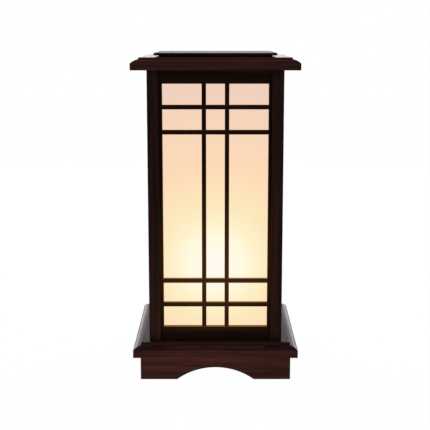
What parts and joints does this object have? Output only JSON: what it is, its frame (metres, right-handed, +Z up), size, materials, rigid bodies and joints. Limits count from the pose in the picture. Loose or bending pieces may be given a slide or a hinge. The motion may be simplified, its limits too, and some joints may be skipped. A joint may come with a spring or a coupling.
{
  "type": "andon floor lamp",
  "caption": "Square wooden lantern floor lamp with lattice sides, glowing frosted panels, moulded base and lid, and arched aprons.",
  "frame": {"origin": "on the floor under the lamp's vertical centre line, level with the undersides of the foot pads", "axes": "+Z up, -Y towards the front, +X to the right seen from the front"},
  "size_m": [0.333, 0.333, 0.66],
  "materials": {
    "dark_wood": "satin lacquer",
    "inner_wood": "bare",
    "panel": "frosted",
    "foot_pad": "felt",
    "brass": "satin",
    "zinc_steel": "plated",
    "porcelain": "glazed",
    "bush": "matte",
    "bulb_glass": "frosted",
    "bulb_metal": "satin",
    "bulb_insulator": "gloss"
  },
  "bodies": {
    "lantern": {"plinth_board": "dark_wood", "apron_front": "dark_wood", "apron_right": "dark_wood", "apron_back": "dark_wood", "apron_left": "dark_wood", "post_front_left": "dark_wood", "post_front_right": "dark_wood", "post_back_right": "dark_wood", "post_back_left": "dark_wood", "bottom_rail_front": "dark_wood", "bottom_rail_right": "dark_wood", "bottom_rail_back": "dark_wood", "bottom_rail_left": "dark_wood", "top_rail_front": "dark_wood", "top_rail_right": "dark_wood", "top_rail_back": "dark_wood", "top_rail_left": "dark_wood", "lattice_border_front": "dark_wood", "lattice_border_right": "dark_wood", "lattice_border_back": "dark_wood", "lattice_border_left": "dark_wood", "lattice_bars_front": "dark_wood", "lattice_bars_right": "dark_wood", "lattice_bars_back": "dark_wood", "lattice_bars_left": "dark_wood", "corner_blocks": "inner_wood", "sill_strips": "inner_wood", "corner_bead_front_left": "inner_wood", "corner_bead_front_right": "inner_wood", "corner_bead_back_right": "inner_wood", "corner_bead_back_left": "inner_wood", "panel_front": "panel", "panel_right": "panel", "panel_back": "panel", "panel_left": "panel", "foot_pads": "foot_pad", "lampholder_cap": "brass", "lampholder_shell": "brass", "screw_shell": "brass", "seating_ring": "brass", "sleeve_tube": "brass", "centre_contact": "brass", "lamp_pipe": "zinc_steel", "pipe_washer": "zinc_steel", "lock_nuts": "zinc_steel", "lampholder_insulator": "porcelain", "cord_bush": "bush"},
    "lid": {"lid_board": "dark_wood", "top_plate": "dark_wood", "spacer_strips": "dark_wood", "lid_cleats": "inner_wood"},
    "bulb": {"bulb_envelope": "bulb_glass", "bulb_cap": "bulb_metal", "bulb_contact": "bulb_insulator"}
  },
  "joints": [
    {"name": "lid_lift", "type": "slide", "parent": "lantern", "child": "lid", "axis": [0, 0, 1], "range_m": [0, 0.08]},
    {"name": "bulb_unscrew", "type": "hinge", "parent": "lantern", "child": "bulb", "pos_m": [0, 0, 0.17], "axis": [0, 0, 1], "range_deg": [0, 990]}
  ]
}
